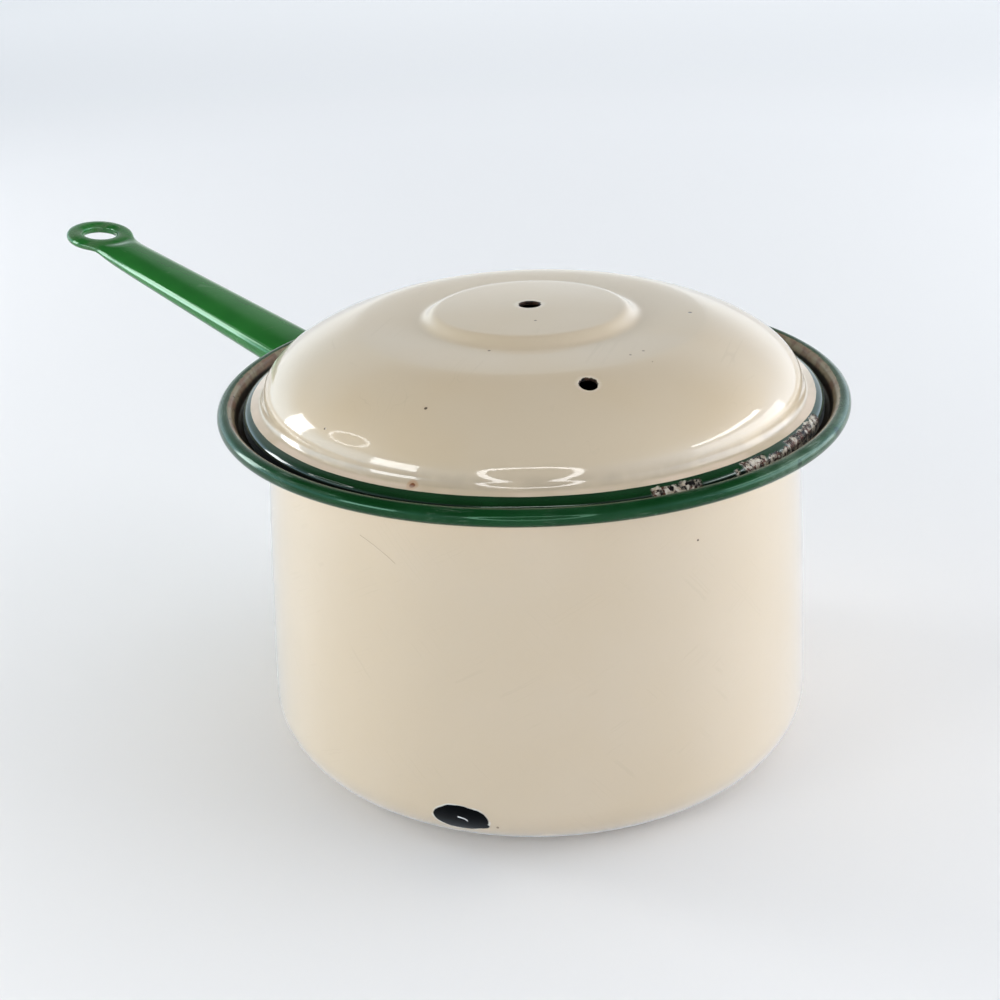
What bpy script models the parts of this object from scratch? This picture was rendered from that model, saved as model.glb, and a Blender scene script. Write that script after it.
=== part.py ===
"""Enamelled steel saucepan with a drop-in lid and a folded steel handle.

Sizes are in metres, +Z is up. The pan's axis is the Z axis, its base stands on z = 0, and the handle
points along +X. The lid rests on the seat inside the pan's mouth. Its knob is lost, so the knob's
screw hole is open.
"""

import math

import bmesh
import bpy

# Pan, outside sizes
PAN_HEIGHT = 0.1175
RIM_RADIUS = 0.1000
ROLL_RADIUS = 0.0025
NECK_RADIUS = 0.0849
FOOT_RADIUS = 0.0906
HEEL_RADIUS = 0.0155
WALL_BULGE = 0.00045
PAN_SHEET = 0.0012

# Pan's mouth: the sloping seat that the lid rests on, and the throat above it
SEAT_DEPTH = 0.0057
SEAT_SLOPE = math.radians(27)
SEAT_FILLET = 0.0018
THROAT_FILLET = 0.0016
THROAT_SET_IN = 0.0010
CURL_END = math.radians(-120)

# Lid
LID_SHEET = 0.0010
LID_PLAY = 0.0019
SEAT_GAP = 0.00035
LID_SKIRT = 0.0046
FLANGE_WIDTH = 0.0067
FLANGE_DROP = math.radians(15)
EDGE_FILLET = 0.0025
DOME_HEIGHT = 0.0216
SHOULDER_WIDTH = 0.0313
SHOULDER_FULLNESS = 0.0120
SHOULDER_EASE = 0.0075
SHOULDER_SLOPE = math.radians(6.4)
BOSS_FOOT_RADIUS = 0.0370
BOSS_CREST_RADIUS = 0.0290
BOSS_HEIGHT = 0.0021
BOSS_CROWN = 0.0006
RING_RISE = 0.0009
KNOB_HOLE_RADIUS = 0.0036
VENT_RADIUS = 0.0026
VENT_DISTANCE = 0.0613
VENT_AZIMUTH = math.radians(145.8)

# Handle
HANDLE_SHEET = 0.0012
HANDLE_LENGTH = 0.1500
HANDLE_RISE = math.radians(11.4)
HANDLE_UNDER_SEAT = 0.0024
ROOT_WIDTH = 0.0250
ROOT_HEIGHT = 0.0100
NECK_WIDTH = 0.0190
NECK_HEIGHT = 0.0068
NECK_OVERLAP = 0.0040
ROOT_FLARE = 0.0030
FLARE_LENGTH = 0.0100
ROOT_SPARE = 0.0100
HANDLE_CROWN = 0.0006
UPPER_FOLD_RADIUS = 0.0036
LOWER_FOLD_RADIUS = 0.0025
FOLD_SHARE_LIMIT = 0.45
TAPER_WIDTH = 0.0179
END_WIDTH = 0.0152
END_HEIGHT = 0.0034
SEAM_GAP = 0.0015
WELD_GAP = 0.0003
EYE_RADIUS = 0.01385
EYE_HOLE_RADIUS = 0.0067
EYE_THICKNESS = 0.0040
EYE_LIP_THICKNESS = 0.0030

# Fineness of the round and curved shapes
TURN_STEPS = 56
EYE_STEPS = 32
VENT_STEPS = 20
WALL_STEPS = 5
BOSS_STEPS = 4
SHOULDER_STEPS = 8
HANDLE_STEPS = 4
CUTTER_STEPS = 8
CUTTER_REACH = 0.6
ARC_STEP = math.radians(24)
MERGE = 0.00001

# Levels and radii that follow from the sizes above
ROLL_CENTRE_RADIUS = RIM_RADIUS - ROLL_RADIUS
ROLL_CENTRE_Z = PAN_HEIGHT - ROLL_RADIUS
SEAT_Z = PAN_HEIGHT - SEAT_DEPTH
THROAT_RADIUS = RIM_RADIUS - 2 * ROLL_RADIUS - THROAT_SET_IN
LID_RADIUS = THROAT_RADIUS - LID_PLAY
DOME_RADIUS = LID_RADIUS - FLANGE_WIDTH
LID_BOTTOM_Z = SEAT_Z + SEAT_GAP
HANDLE_REACH = NECK_RADIUS + HANDLE_LENGTH


def seat_height(radius):
    """Height of the seat's middle surface, whose top passes under the lid's edge."""
    half = PAN_SHEET / 2
    run = radius - LID_RADIUS - half * math.sin(SEAT_SLOPE)
    return SEAT_Z - half * math.cos(SEAT_SLOPE) + run * math.tan(SEAT_SLOPE)


# Centres of the two bends of the mouth, on the sheet's middle surface
NECK_BEND_RADIUS = NECK_RADIUS - PAN_SHEET / 2 + SEAT_FILLET
NECK_TOP_Z = seat_height(NECK_BEND_RADIUS) - SEAT_FILLET / math.cos(SEAT_SLOPE)
THROAT_BEND_RADIUS = THROAT_RADIUS + PAN_SHEET / 2 - THROAT_FILLET
THROAT_BEND_Z = seat_height(THROAT_BEND_RADIUS) + THROAT_FILLET / math.cos(SEAT_SLOPE)
HANDLE_TOP_Z = NECK_TOP_Z - HANDLE_UNDER_SEAT

# Materials: colour, roughness, metallic
CREAM_ENAMEL = ("cream_enamel", (0.66, 0.56, 0.42, 1.0), 0.22, 0.0)
LID_ENAMEL = ("lid_enamel", (0.68, 0.58, 0.44, 1.0), 0.20, 0.0)
GREEN_ENAMEL = ("green_enamel", (0.012, 0.115, 0.028, 1.0), 0.18, 0.0)


def clear_scene():
    for old in list(bpy.data.objects):
        bpy.data.objects.remove(old, do_unlink=True)


def new_collection(name):
    made = bpy.data.collections.new(name)
    bpy.context.scene.collection.children.link(made)
    return made


def enamel(values):
    """A Principled material from its name, colour, roughness and metallic value."""
    name, colour, roughness, metallic = values
    material = bpy.data.materials.new(name)
    material.use_nodes = True
    shader = material.node_tree.nodes["Principled BSDF"]
    shader.inputs["Base Color"].default_value = colour
    shader.inputs["Roughness"].default_value = roughness
    shader.inputs["Metallic"].default_value = metallic
    return material


def arc(centre_r, centre_z, radius, start, end):
    """Points (radius, height) along an arc, both ends included."""
    count = max(2, math.ceil(abs(end - start) / ARC_STEP))
    angles = [start + (end - start) * i / count for i in range(count + 1)]
    return [(centre_r + radius * math.cos(a), centre_z + radius * math.sin(a)) for a in angles]


def bezier(p0, p1, p2, p3, count):
    """Points on a cubic curve, without its first point."""
    points = []
    for i in range(1, count + 1):
        t = i / count
        weights = ((1 - t) ** 3, 3 * t * (1 - t) ** 2, 3 * t * t * (1 - t), t ** 3)
        points.append(tuple(sum(w * p[k] for w, p in zip(weights, (p0, p1, p2, p3))) for k in (0, 1)))
    return points


def mesh_object(name, bm, collection):
    mesh = bpy.data.meshes.new(name)
    bm.to_mesh(mesh)
    bm.free()
    made = bpy.data.objects.new(name, mesh)
    collection.objects.link(made)
    return made


def profile_object(name, points, collection, closed=False):
    """A line of edges in the XZ plane, to be turned about Z."""
    bm = bmesh.new()
    line = [bm.verts.new((r, 0.0, z)) for r, z in points]
    for a, b in zip(line, line[1:]):
        bm.edges.new((a, b))
    if closed:
        bm.edges.new((line[-1], line[0]))
    return mesh_object(name, bm, collection)


def turn(part, steps):
    """Turns the profile about the object's Z axis."""
    screw = part.modifiers.new("Turn", "SCREW")
    screw.axis = "Z"
    screw.angle = math.tau
    screw.steps = steps
    screw.render_steps = steps
    screw.use_merge_vertices = True
    screw.merge_threshold = MERGE
    screw.use_smooth_shade = True
    return screw


def thicken(part, sheet, offset):
    wall = part.modifiers.new("Sheet", "SOLIDIFY")
    wall.thickness = sheet
    wall.offset = offset
    wall.use_even_offset = True
    wall.use_rim = True
    return wall


def combine(part, other, operation, name):
    cut = part.modifiers.new(name, "BOOLEAN")
    cut.operation = operation
    cut.solver = "EXACT"
    cut.object = other
    return cut


def as_cutter(part):
    part.hide_render = True
    part.display_type = "WIRE"
    return part


def crown(rise, share):
    """Height of a shallow crown at a share of the way from its middle (0) to its edge (1)."""
    return rise * (1 - share * share)


def wall_radius(share):
    """Outside radius of the pan's wall, from the foot (share 0) to the neck (share 1)."""
    straight = FOOT_RADIUS + (NECK_RADIUS - FOOT_RADIUS) * share
    return straight + 4 * WALL_BULGE * share * (1 - share)


def wall_height(share):
    return HEEL_RADIUS + (NECK_TOP_Z - HEEL_RADIUS) * share


def throat_slope():
    """Angle of the straight throat that touches both the curl and the bend below it."""
    across = ROLL_CENTRE_RADIUS - THROAT_BEND_RADIUS
    up = ROLL_CENTRE_Z - THROAT_BEND_Z
    radii = ROLL_RADIUS - PAN_SHEET / 2 + THROAT_FILLET
    return math.atan2(up, across) + math.asin(radii / math.hypot(across, up))


def pan_shell(collection):
    """Drawn shell: flat base, round heel, tapering wall, sloping seat, throat and an outward curled rim."""
    half = PAN_SHEET / 2
    slope = throat_slope()
    quarter = math.pi / 2
    points = arc(ROLL_CENTRE_RADIUS, ROLL_CENTRE_Z, ROLL_RADIUS - half, CURL_END, slope + quarter)
    points += arc(THROAT_BEND_RADIUS, THROAT_BEND_Z, THROAT_FILLET, slope - quarter, SEAT_SLOPE - quarter)
    points += arc(NECK_BEND_RADIUS, NECK_TOP_Z, SEAT_FILLET, quarter + SEAT_SLOPE, math.pi)
    for i in range(1, WALL_STEPS):
        share = 1 - i / WALL_STEPS
        points.append((wall_radius(share) - half, wall_height(share)))
    points += arc(FOOT_RADIUS - HEEL_RADIUS, HEEL_RADIUS, HEEL_RADIUS - half, 0.0, -quarter)
    points.append((0.0, half))
    pan = profile_object("pan_shell", points, collection)
    turn(pan, TURN_STEPS)
    thicken(pan, PAN_SHEET, 0.0)
    pan.data.materials.append(enamel(CREAM_ENAMEL))
    return pan


def lid_profile():
    """Top side of the lid, from the knob hole out to the bottom of the skirt."""
    edge_top = LID_BOTTOM_Z + LID_SKIRT
    edge_start = math.pi / 2 - FLANGE_DROP
    edge_centre = LID_RADIUS - EDGE_FILLET
    edge_centre_z = edge_top - EDGE_FILLET
    flange_r = edge_centre + EDGE_FILLET * math.cos(edge_start)
    flange_z = edge_centre_z + EDGE_FILLET * math.sin(edge_start)
    crease_z = flange_z + (flange_r - DOME_RADIUS) * math.tan(FLANGE_DROP)
    shoulder_r = DOME_RADIUS - SHOULDER_WIDTH
    shoulder_z = crease_z + DOME_HEIGHT
    crest_z = shoulder_z + RING_RISE + BOSS_HEIGHT
    points = [(KNOB_HOLE_RADIUS, crest_z + BOSS_CROWN)]
    points.append((BOSS_CREST_RADIUS / 2, crest_z + crown(BOSS_CROWN, 0.5)))
    points.append((BOSS_CREST_RADIUS, crest_z))
    ease = (BOSS_FOOT_RADIUS - BOSS_CREST_RADIUS) / 2
    points += bezier(points[-1], (BOSS_CREST_RADIUS + ease, crest_z),
                     (BOSS_FOOT_RADIUS - ease, shoulder_z + RING_RISE),
                     (BOSS_FOOT_RADIUS, shoulder_z + RING_RISE), BOSS_STEPS)
    points.append((shoulder_r, shoulder_z))
    points += bezier(points[-1],
                     (shoulder_r + SHOULDER_EASE * math.cos(SHOULDER_SLOPE),
                      shoulder_z - SHOULDER_EASE * math.sin(SHOULDER_SLOPE)),
                     (DOME_RADIUS, crease_z + SHOULDER_FULLNESS),
                     (DOME_RADIUS, crease_z), SHOULDER_STEPS)
    points += arc(edge_centre, edge_centre_z, EDGE_FILLET, edge_start, 0.0)
    points.append((LID_RADIUS, LID_BOTTOM_Z))
    return points


def vent_cutter(cutters):
    """Round steam hole through the lid's slope."""
    bpy.ops.mesh.primitive_cylinder_add(
        vertices=VENT_STEPS, radius=VENT_RADIUS, depth=2 * DOME_HEIGHT,
        location=(VENT_DISTANCE * math.cos(VENT_AZIMUTH), VENT_DISTANCE * math.sin(VENT_AZIMUTH),
                  LID_BOTTOM_Z + DOME_HEIGHT))
    cutter = bpy.context.object
    cutter.name = "vent_cutter"
    for linked in list(cutter.users_collection):
        linked.objects.unlink(cutter)
    cutters.objects.link(cutter)
    return as_cutter(cutter)


def lid_shell(collection, cutters):
    """Pressed lid: boss, ring, domed shoulder, flange and a turned-down edge that rests on the seat."""
    lid = profile_object("lid_shell", lid_profile(), collection)
    turn(lid, TURN_STEPS)
    thicken(lid, LID_SHEET, -1.0)
    combine(lid, vent_cutter(cutters), "DIFFERENCE", "Vent")
    lid.data.materials.append(enamel(LID_ENAMEL))
    return lid


def handle_section(x, width, height, top):
    """Right half of the handle's outline at x, from the seam below round the side to the top's middle."""
    bottom = top - height
    side = width / 2
    lower = min(LOWER_FOLD_RADIUS, height * FOLD_SHARE_LIMIT)
    upper = min(UPPER_FOLD_RADIUS, height * FOLD_SHARE_LIMIT)
    half = [(SEAM_GAP / 2, bottom)]
    half += arc(side - lower, bottom + lower, lower, -math.pi / 2, 0.0)
    half += arc(side - upper, top - upper, upper, 0.0, math.pi / 2)
    half.append(((side - upper) / 2, top + crown(HANDLE_CROWN, 0.5)))
    half.append((0.0, top + HANDLE_CROWN))
    return [(x, y, z) for y, z in half]


def handle_tube(collection):
    """Steel sheet folded to a flat tube with its seam below, open where it meets the pan."""
    root = NECK_RADIUS / math.cos(HANDLE_RISE)
    eye = HANDLE_REACH / math.cos(HANDLE_RISE)
    neck = eye - EYE_RADIUS + NECK_OVERLAP
    end = eye - (EYE_RADIUS + EYE_HOLE_RADIUS - EYE_THICKNESS) / 2
    top = EYE_THICKNESS / 2
    flared_width = ROOT_WIDTH + 2 * ROOT_FLARE
    flared_height = ROOT_HEIGHT + ROOT_FLARE
    stations = [(root - ROOT_SPARE, flared_width, flared_height, top)]
    stations.append((root, flared_width, flared_height, top))
    stations.append((root + FLARE_LENGTH / 2, ROOT_WIDTH + ROOT_FLARE / 2,
                     ROOT_HEIGHT + ROOT_FLARE / 4, top))
    start = root + FLARE_LENGTH
    for i in range(HANDLE_STEPS + 1):
        share = i / HANDLE_STEPS
        stations.append((start + (neck - start) * share,
                         ROOT_WIDTH + (NECK_WIDTH - ROOT_WIDTH) * share,
                         ROOT_HEIGHT + (NECK_HEIGHT - ROOT_HEIGHT) * share, top))
    stations.append(((neck + end) / 2, TAPER_WIDTH, (NECK_HEIGHT + END_HEIGHT) / 2,
                     top - HANDLE_CROWN))
    stations.append((end, END_WIDTH, END_HEIGHT, END_HEIGHT / 2 - HANDLE_CROWN))
    bm = bmesh.new()
    rings = [[bm.verts.new(p) for p in handle_section(*station)] for station in stations]
    for ring, following in zip(rings, rings[1:]):
        for i in range(len(ring) - 1):
            bm.faces.new((ring[i], following[i], following[i + 1], ring[i + 1]))
    bmesh.ops.recalc_face_normals(bm, faces=bm.faces)
    return mesh_object("handle", bm, collection)


def eye_ring(cutters):
    """Flat ring with round edges, turned about the hanging hole."""
    edge = EYE_THICKNESS / 2
    lip = EYE_LIP_THICKNESS / 2
    outer = arc(EYE_RADIUS - edge, 0.0, edge, math.pi / 2, -math.pi / 2)
    inner = arc(EYE_HOLE_RADIUS + lip, 0.0, lip, -math.pi / 2, -3 * math.pi / 2)
    ring = profile_object("eye_ring", outer + inner, cutters, closed=True)
    turn(ring, EYE_STEPS)
    return as_cutter(ring)


def wall_cutter(cutters):
    """The pan's outside with the weld's gap added, which shapes the handle's root."""
    shares = [1 - CUTTER_REACH * i / CUTTER_STEPS for i in range(CUTTER_STEPS + 1)]
    points = [(0.0, NECK_TOP_Z)]
    points += [(wall_radius(s) + WELD_GAP, wall_height(s)) for s in shares]
    points.append((0.0, wall_height(shares[-1])))
    cutter = profile_object("wall_cutter", points, cutters)
    turn(cutter, TURN_STEPS)
    return as_cutter(cutter)


def handle(collection, cutters):
    """Folded handle with its flattened hanging eye, one pressing, welded to the wall below the seat."""
    made = handle_tube(collection)
    rise = NECK_RADIUS * math.tan(HANDLE_RISE) + EYE_THICKNESS / 2 / math.cos(HANDLE_RISE)
    made.location = (0.0, 0.0, HANDLE_TOP_Z - rise)
    made.rotation_euler = (0.0, -HANDLE_RISE, 0.0)
    mirror = made.modifiers.new("Left side", "MIRROR")
    mirror.use_axis = (False, True, False)
    mirror.use_clip = True
    mirror.merge_threshold = MERGE
    thicken(made, HANDLE_SHEET, -1.0)
    ring = eye_ring(cutters)
    ring.parent = made
    ring.location = (HANDLE_REACH / math.cos(HANDLE_RISE), 0.0, 0.0)
    combine(made, ring, "UNION", "Hanging eye")
    combine(made, wall_cutter(cutters), "DIFFERENCE", "Fit to wall")
    made.data.materials.append(enamel(GREEN_ENAMEL))
    return made


def build():
    clear_scene()
    saucepan = new_collection("saucepan")
    cutters = new_collection("cutters")
    pan_shell(saucepan)
    lid_shell(saucepan, cutters)
    handle(saucepan, cutters)


build()
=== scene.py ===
"""Looks of the enamelled saucepan: its camera, light and floor, and its pan, lid and handle."""

import math

import bmesh
import bpy
from mathutils import Matrix, Vector


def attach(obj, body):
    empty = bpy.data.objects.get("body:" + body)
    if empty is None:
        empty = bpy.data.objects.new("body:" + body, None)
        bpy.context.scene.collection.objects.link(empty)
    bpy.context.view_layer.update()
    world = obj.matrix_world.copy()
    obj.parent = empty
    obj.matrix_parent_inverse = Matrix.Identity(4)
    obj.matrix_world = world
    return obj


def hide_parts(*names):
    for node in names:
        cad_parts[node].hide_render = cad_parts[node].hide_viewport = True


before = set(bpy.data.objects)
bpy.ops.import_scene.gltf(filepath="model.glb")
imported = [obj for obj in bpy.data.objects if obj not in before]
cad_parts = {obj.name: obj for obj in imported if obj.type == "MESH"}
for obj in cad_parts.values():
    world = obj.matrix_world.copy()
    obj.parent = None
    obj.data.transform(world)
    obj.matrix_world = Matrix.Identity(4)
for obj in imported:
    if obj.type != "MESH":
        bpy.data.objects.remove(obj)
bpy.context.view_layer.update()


# Camera. It stands a little above the pan and across from the handle, at arm's length, tipped
# down by 24 degrees and leaning 2 degrees to one side.
CAMERA_AT = (-0.2895, 0.3341, 0.2763)
HEADING = math.radians(-137.59)
TIP = math.radians(65.66)
LEAN = math.radians(-2.15)
FOCAL_LENGTH = 52.56
SENSOR_WIDTH = 36.0

camera = bpy.data.objects.new("camera", bpy.data.cameras.new("camera"))
bpy.context.scene.collection.objects.link(camera)
bpy.context.scene.camera = camera
camera.data.lens = FOCAL_LENGTH
camera.data.sensor_width = SENSOR_WIDTH
camera.matrix_world = (
    Matrix.Translation(CAMERA_AT)
    @ Matrix.Rotation(HEADING, 4, "Z")
    @ Matrix.Rotation(TIP, 4, "X")
    @ Matrix.Rotation(LEAN, 4, "Z"))


# Light and floor. A pale floor in a soft white glow that is strongest at both sides and dim in front,
# lit by two windows, a softbox, a ring lamp round the camera and another to the left, and soft fills.
class Paint:
    """A socket of a node. Sums on it add Math nodes beside it, and node() adds any other node."""

    def __init__(self, tree, socket):
        self.tree = tree
        self.socket = socket

    def node(self, kind, inputs=None, out=0, **settings):
        """Adds a node: its settings first, then the values or links of its sockets."""
        made = self.tree.nodes.new("ShaderNode" + kind)
        for key, value in settings.items():
            setattr(made, key, value)
        for key, value in (inputs or {}).items():
            if isinstance(value, Paint):
                self.tree.links.new(value.socket, made.inputs[key])
            elif isinstance(value, tuple) and len(value) == 3 and made.inputs[key].type == "RGBA":
                made.inputs[key].default_value = (*value, 1.0)
            else:
                made.inputs[key].default_value = value
        return Paint(self.tree, made.outputs[out])

    def sum(self, operation, *values):
        return self.node("Math", dict(enumerate(values)), operation=operation)

    def math(self, operation, *others):
        return self.sum(operation, self, *others)

    def __add__(self, other):
        return self.sum("ADD", self, other)

    def __radd__(self, other):
        return self.sum("ADD", other, self)

    def __sub__(self, other):
        return self.sum("SUBTRACT", self, other)

    def __rsub__(self, other):
        return self.sum("SUBTRACT", other, self)

    def __mul__(self, other):
        return self.sum("MULTIPLY", self, other)

    def __rmul__(self, other):
        return self.sum("MULTIPLY", other, self)

    def __truediv__(self, other):
        return self.sum("DIVIDE", self, other)

    def __rtruediv__(self, other):
        return self.sum("DIVIDE", other, self)

    def __pow__(self, other):
        return self.sum("POWER", self, other)

    def step(self, low, high):
        """0 below low and 1 above high, with a soft step between; turned round where low > high."""
        return self.node("MapRange", {0: self, 1: low, 2: high}, interpolation_type="SMOOTHSTEP")

    def near(self, value, far, close):
        """1 where this is within close of the value, with a soft step down to 0 at far from it."""
        return (self - value).math("ABSOLUTE").step(far, close)

    def over(self, below, above):
        """The colour above where this mask is 1, and the one below where it is 0."""
        return self.node("Mix", {0: self, 6: below, 7: above}, out=2, data_type="RGBA")

    def or_(self, other):
        """Where either of two masks is."""
        return self.math("MAXIMUM", other)

    def noise(self, size, detail=2.0):
        """Cloudy values about 0.5, whose lumps are roughly as wide as size."""
        return self.node("TexNoise", {"Vector": self, "Scale": 1.0 / size, "Detail": detail})

    def feeds(self, shader, name):
        self.tree.links.new(self.socket, shader.inputs[name])


AIM_HEIGHT = 0.12


def light_at(bearing, height, distance):
    """A point round the pan, by its bearing and its height above the rim in degrees. The bearing is 0
    behind the pan and grows to the camera's right."""
    angle = HEADING + math.pi / 2 - math.radians(bearing)
    rise = math.radians(height)
    return Vector((distance * math.cos(rise) * math.cos(angle),
                   distance * math.cos(rise) * math.sin(angle),
                   AIM_HEIGHT + distance * math.sin(rise)))


def facing_pan(place):
    """The turn of a lamp that stands at a place and shines on the pan."""
    return (place - Vector((0, 0, AIM_HEIGHT))).to_track_quat("Z", "Y")


# Each side of the room: its bearing, its glow near the floor, its glow higher up, and where that begins.
ROOM = ((0, (1.20, 1.24, 1.24), (0.52, 0.55, 0.55), 0.10),
        (90, (1.95, 2.50, 3.30), (1.35, 1.50, 1.70), 0.25),
        (180, (0.40, 0.40, 0.40), (0.20, 0.20, 0.20), 0.25),
        (-90, (1.62, 2.30, 2.95), (0.36, 0.48, 0.58), 0.22))
SIDE_FADE = 0.25
CEILING = (0.06, 0.06, 0.06)
CEILING_FADE = (0.48, 0.72)

# Straight up, a side's share would divide by zero, so no look counts as steeper than this.
STEEPEST = 0.995

bpy.context.scene.view_settings.view_transform = "Standard"
world = bpy.data.worlds.new("white_room")
bpy.context.scene.world = world
world.use_nodes = True
tree = world.node_tree
look = Paint(tree, tree.nodes.new("ShaderNodeTexCoord").outputs["Generated"])
up = look.node("SeparateXYZ", {0: look}, out=2).math("MINIMUM", STEEPEST)
overhead = up.step(*CEILING_FADE)


def glowing(colour, share, room):
    """The room with a share of one more glow."""
    return look.node("VectorMath", {0: colour, 1: share, 2: room}, operation="MULTIPLY_ADD")


room = glowing(CEILING, overhead, (0.0, 0.0, 0.0))
for bearing, near_floor, higher, start in ROOM:
    way = tuple(light_at(bearing, 0, 1.0) - light_at(bearing, 0, 0.0))
    side = look.node("VectorMath", {0: look, 1: way}, out=1, operation="DOT_PRODUCT").math("MAXIMUM", 0.0)
    side = side * side / (1 - up * up)
    raised = up.step(start, start + SIDE_FADE)
    room = glowing(near_floor, side * (1 - raised), room)
    room = glowing(higher, side * (raised - raised * overhead), room)
tree.links.new(room.socket, tree.nodes["Background"].inputs["Color"])
tree.nodes["Background"].inputs["Strength"].default_value = 1.0


def window(name, bearing, height, distance, size, radiance, mirrored=True, lighting=True):
    """A flat lamp that faces the pan. Its radiance is how bright its mirror image is. Without mirrored
    it only lights dull surfaces, and without lighting only its mirror image is seen."""
    lamp = bpy.data.objects.new(name, bpy.data.lights.new(name, "AREA"))
    bpy.context.scene.collection.objects.link(lamp)
    lamp.data.shape = "RECTANGLE"
    lamp.data.size, lamp.data.size_y = size
    lamp.data.energy = radiance * math.pi * size[0] * size[1]
    lamp.visible_camera = False
    lamp.visible_glossy = mirrored
    lamp.visible_diffuse = lighting
    lamp.rotation_mode = "QUATERNION"
    lamp.location = light_at(bearing, height, distance)
    lamp.rotation_quaternion = facing_pan(lamp.location)


def ring_lamp(name, bearing, height, distance, radius, width, radiance):
    """A flat glowing ring that faces the pan. Only its mirror image is seen."""
    bm = bmesh.new()
    edges = []
    for reach in (radius, radius - width):
        circle = bmesh.ops.create_circle(bm, segments=96, radius=reach)["verts"]
        edges += list({e for v in circle for e in v.link_edges})
    bmesh.ops.bridge_loops(bm, edges=edges)
    place = light_at(bearing, height, distance)
    bmesh.ops.transform(bm, verts=bm.verts,
                        matrix=Matrix.Translation(place) @ facing_pan(place).to_matrix().to_4x4())
    lamp = bpy.data.objects.new(name, bpy.data.meshes.new(name))
    bm.to_mesh(lamp.data)
    bm.free()
    bpy.context.scene.collection.objects.link(lamp)
    glow = bpy.data.materials.new(name)
    glow.use_nodes = True
    shader = glow.node_tree.nodes["Principled BSDF"]
    shader.inputs["Base Color"].default_value = (0.0, 0.0, 0.0, 1.0)
    shader.inputs["Emission Color"].default_value = (1.0, 1.0, 1.0, 1.0)
    shader.inputs["Emission Strength"].default_value = radiance
    lamp.data.materials.append(glow)
    lamp.visible_camera = False
    lamp.visible_diffuse = False
    lamp.visible_shadow = False


# Each lamp has its bearing, height and distance, then its size and its radiance. A ring's size is its
# radius and its width. Where light and mirror image are set apart, each has a lamp of its own.
window("left_window_glow", -69, 11, 1.3, (0.34, 0.60), 11.0, mirrored=False)
window("left_window", -74.6, 10.9, 0.397, (0.084, 0.155), 8.5, lighting=False)
window("left_window_rim", -74.6, 10.9, 0.401, (0.102, 0.178), 2.5, lighting=False)
window("left_softbox", -123.6, 10.4, 1.0, (0.35, 0.25), 9.5)
window("right_window_top", 92.9, 24.7, 1.3, (0.95, 0.10), 9.5)
window("right_window_glow", 88.8, 5.7, 1.3, (1.40, 0.48), 5.0, mirrored=False)
window("right_window", 88.8, 5.7, 1.31, (1.40, 0.48), 2.7, lighting=False)
window("ceiling_glow", 30, 68, 2.7, (4.0, 4.0), 0.92, mirrored=False)
window("left_fill", -100, 12, 1.6, (1.0, 1.0), 1.1, mirrored=False)
window("front_fill", -175, 14, 1.2, (0.8, 0.8), 1.3, mirrored=False)
ring_lamp("camera_ring", -177, 13.7, 0.481, 0.165, 0.033, 11.0)
ring_lamp("left_ring", -89.9, 32.4, 1.25, 0.20, 0.034, 6.8)

FLOOR_REACH = 15.0
FLOOR_GAP = 0.0001
FLOOR_NEAR = (0.80, 0.785, 0.775)
FLOOR_FAR_PAINTED_LIGHT = (0.96, 0.935, 0.92)

bm = bmesh.new()
bmesh.ops.create_grid(bm, x_segments=1, y_segments=1, size=FLOOR_REACH)
floor = bpy.data.objects.new("floor", bpy.data.meshes.new("floor"))
bm.to_mesh(floor.data)
bm.free()
bpy.context.scene.collection.objects.link(floor)
floor.location.z = -FLOOR_GAP
floor_paint = bpy.data.materials.new("pale_floor")
floor_paint.use_nodes = True
shader = floor_paint.node_tree.nodes["Principled BSDF"]
coords = floor_paint.node_tree.nodes.new("ShaderNodeTexCoord").outputs["Object"]
place = Paint(floor_paint.node_tree, coords)
away = place.node("VectorMath", {0: place}, out=1, operation="LENGTH")
# The floor is painted paler far from the pan: painted light where the lamps reach less.
away.step(0.30, 1.3).over(FLOOR_NEAR, FLOOR_FAR_PAINTED_LIGHT).feeds(shader, "Base Color")

# Far from the pan the floor glows a little, so that it fades to white.
(away.step(0.8, 3.0) * 0.25).feeds(shader, "Emission Color")
shader.inputs["Emission Strength"].default_value = 1.0
shader.inputs["Roughness"].default_value = 0.6
floor.data.materials.append(floor_paint)


# Pan. One drawn steel shell, enamelled all over: flat base, round heel, tapering wall, a sloping
# seat for the lid, a throat above it, and an edge rolled outwards. The roll is green, the rest cream.
PAN_SHEET = 0.0012
PAN_STEPS = 256
FOOT_RADIUS = 0.0906
HEEL_RADIUS = 0.0155
NECK_RADIUS = 0.0849
NECK_TOP = 0.10605
WALL_BULGE = 0.00045
WALL_POINTS = 40
BASE_POINTS = 12

# The bends above the wall, by centre and radius: the neck's and the one between seat and throat, both
# in the middle of the sheet, and the rolled edge by its outside.
NECK_BEND = ((0.0861, NECK_TOP), 0.0018)
SEAT_BEND = ((0.0930, 0.11338), 0.0016)
ROLL_CENTRE = (0.0975, 0.1150)
ROLL_RADIUS = 0.0025


def arc(centre, radius, start, end, step=8):
    """Points of an arc, from one angle to the other in degrees, both ends included."""
    count = max(2, math.ceil(abs(end - start) / step))
    angles = [math.radians(start + (end - start) * i / count) for i in range(count + 1)]
    return [(centre[0] + radius * math.cos(a), centre[1] + radius * math.sin(a)) for a in angles]


def straight(start, end, count):
    """Points along a line, without its first."""
    return [tuple(a + (b - a) * i / count for a, b in zip(start, end)) for i in range(1, count + 1)]


def wall_radius(height):
    """Outside radius of the pan's tapering wall at a height."""
    share = (height - HEEL_RADIUS) / (NECK_TOP - HEEL_RADIUS)
    return FOOT_RADIUS + (NECK_RADIUS - FOOT_RADIUS) * share + 4 * WALL_BULGE * share * (1 - share)


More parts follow.
